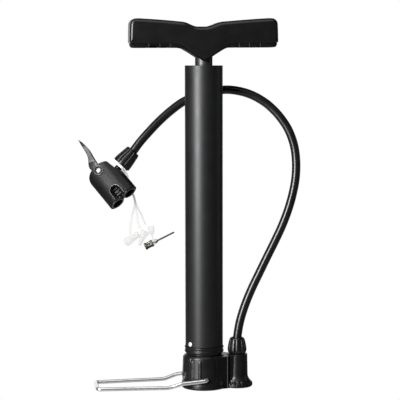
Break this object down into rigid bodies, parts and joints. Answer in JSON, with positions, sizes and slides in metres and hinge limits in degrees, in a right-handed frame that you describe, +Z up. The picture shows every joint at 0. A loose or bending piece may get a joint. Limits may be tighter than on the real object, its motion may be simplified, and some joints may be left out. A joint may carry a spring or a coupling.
{
  "type": "foot air pump",
  "caption": "Hand and foot air pump: upright barrel with T handle, moulded base, folding wire pedal, hose with twin valve head and tethered adapters.",
  "frame": {"origin": "on the floor under the barrel's axis, on the base's flat bottom", "axes": "+Z up along the barrel, +X towards the hose outlet tower, -X towards the pedal, -Y front"},
  "size_m": [0.2245, 0.0742, 0.3735],
  "materials": {
    "black_plastic": "satin moulded black",
    "grip_rubber": "matt black",
    "black_enamel": "satin black enamel",
    "rubber": "smooth black rubber",
    "chrome": "bright plated",
    "steel": "bright nickel",
    "brass": "turned",
    "grey_plastic": "satin grey",
    "clear_plastic": "milky translucent"
  },
  "bodies": {
    "stand": {"base_body": "black_plastic", "tube_plug": "black_plastic", "plug_o_ring": "rubber", "valve_seat": "rubber", "valve_spring": "steel", "valve_cage": "brass", "barrel_tube": "black_enamel", "tube_rivet_front": "chrome", "tube_rivet_back": "chrome", "top_bushing": "black_plastic", "rod_wiper": "rubber", "hose_barb": "brass", "base_hose_nut": "black_plastic", "hose": "rubber", "chuck_hose_nut": "black_plastic", "chuck_washer": "clear_plastic", "tether_ring": "clear_plastic", "chuck_body": "black_plastic", "port_seal_left": "rubber", "port_seal_right": "rubber", "lever_pin": "chrome", "tether_cone": "clear_plastic", "tether_stem": "clear_plastic", "tether_needle": "clear_plastic", "cone_nozzle": "clear_plastic", "stem_adapter": "clear_plastic", "needle_holder": "clear_plastic", "needle_base": "steel", "needle_collar": "steel", "needle_tube": "steel"},
    "piston": {"piston_cup": "rubber"},
    "rod_handle": {"piston_head": "grey_plastic", "piston_screw": "steel", "rod_pin": "steel", "piston_rod": "black_plastic", "stop_sleeve": "rubber", "rod_top_plug": "grey_plastic", "handle_shell": "black_plastic", "handle_grip": "grip_rubber", "handle_screw_left": "steel", "handle_screw_right": "steel"},
    "pedal": {"foot_pedal": "chrome"},
    "lever": {"lever": "grey_plastic"},
    "plunger": {"chuck_plunger": "brass"},
    "valve_poppet": {"valve_poppet": "brass"}
  },
  "joints": [
    {"name": "piston_slide", "type": "slide", "parent": "stand", "child": "piston", "axis": [0, 0, 1], "range_m": [0, 0.222]},
    {"name": "handle_turn", "type": "hinge", "parent": "piston", "child": "rod_handle", "pos_m": [0, 0, 0.2], "axis": [0, 0, 1], "continuous": true},
    {"name": "pedal_fold", "type": "hinge", "parent": "stand", "child": "pedal", "pos_m": [0, 0, 0.011], "axis": [0, 1, 0], "range_deg": [0, 80]},
    {"name": "lever_fold", "type": "hinge", "parent": "stand", "child": "lever", "pos_m": [-0.10156, 0.02231, 0.21876], "axis": [0.4253, 0.8398, -0.3375], "range_deg": [0, 75]},
    {"name": "plunger_slide", "type": "slide", "parent": "stand", "child": "plunger", "axis": [0.528, -0.533, -0.6611], "range_m": [0, 0.001]},
    {"name": "valve_lift", "type": "slide", "parent": "stand", "child": "valve_poppet", "axis": [0, 0, -1], "range_m": [0, 0.0015], "stiffness_N_per_m": 60, "springref_m": -0.001, "deforming": ["valve_spring"]}
  ],
  "couplings": [
    {"joint": "plunger_slide", "follows": "lever_fold", "m_per_rad": 0.00076}
  ]
}
